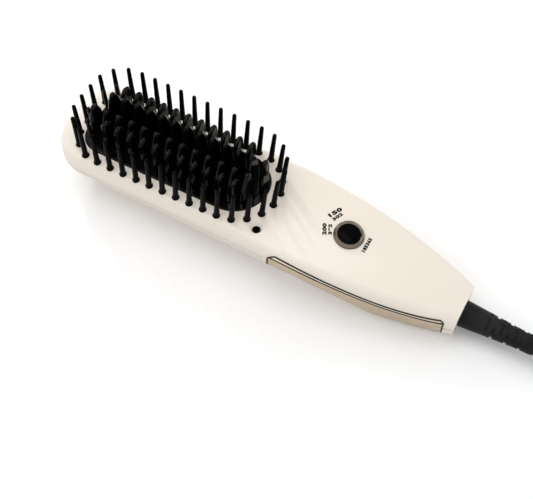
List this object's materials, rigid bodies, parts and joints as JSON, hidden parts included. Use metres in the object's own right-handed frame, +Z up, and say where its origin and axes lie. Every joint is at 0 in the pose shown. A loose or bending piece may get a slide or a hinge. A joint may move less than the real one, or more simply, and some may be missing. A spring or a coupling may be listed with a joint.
{
  "type": "hair straightening brush",
  "caption": "Mains hot brush: pins ring a finned heating plate on a blunt head, with a tapered handle, a push button, side trims and a ribbed cord boot.",
  "frame": {"origin": "middle of the brush with its boot, on the surface it lies on", "axes": "+X from the head to the cord, +Z up out of the pins, +Y to the left looking from the head to the cord"},
  "size_m": [0.2443, 0.0494, 0.0477],
  "materials": {
    "casing": "smooth gloss, cream",
    "trim": "champagne plated",
    "pins": "satin heat-proof plastic",
    "plate": "glossy ceramic coat on cast aluminium",
    "gasket": "silicone",
    "carrier": "glass-filled, matt",
    "heater": "matt",
    "film": "polyimide film",
    "clamp_steel": "spring steel",
    "cutoff": "drawn can",
    "sensor": "glass bead",
    "screws": "zinc plated",
    "bezel": "dark polished",
    "button": "polished black",
    "switch_plastic": "matt",
    "switch_body": "matt",
    "board": "solder-mask green",
    "boot": "semi-matt black",
    "cord_sheath": "semi-matt black",
    "wire_cover": "glass-braid sleeve"
  },
  "bodies": {
    "housing": {"top_shell": "casing", "back_shell": "casing", "trim_left": "trim", "trim_right": "trim", "pin_ring": "pins", "heating_plate": "plate", "plate_gasket": "gasket", "plate_carrier": "carrier", "ceramic_heater": "heater", "insulation_film": "film", "heater_clamp": "clamp_steel", "thermal_cutoff": "cutoff", "temperature_sensor": "sensor", "carrier_screws": "screws", "plate_screws": "screws", "shell_screws": "screws", "board_screws": "screws", "clamp_screws": "screws", "button_bezel": "bezel", "tact_switch": "switch_body", "circuit_board": "board", "cord_boot": "boot", "cord_inlet": "cord_sheath", "cord_clamp": "carrier", "supply_wires": "wire_cover", "heater_wires": "wire_cover"},
    "button": {"power_button": "button", "switch_plunger": "switch_plastic"}
  },
  "joints": [
    {"name": "button_push", "type": "slide", "parent": "housing", "child": "button", "axis": [-0.0976, 0, -0.9952], "range_m": [0, 0.0009], "stiffness_N_per_m": 900}
  ]
}
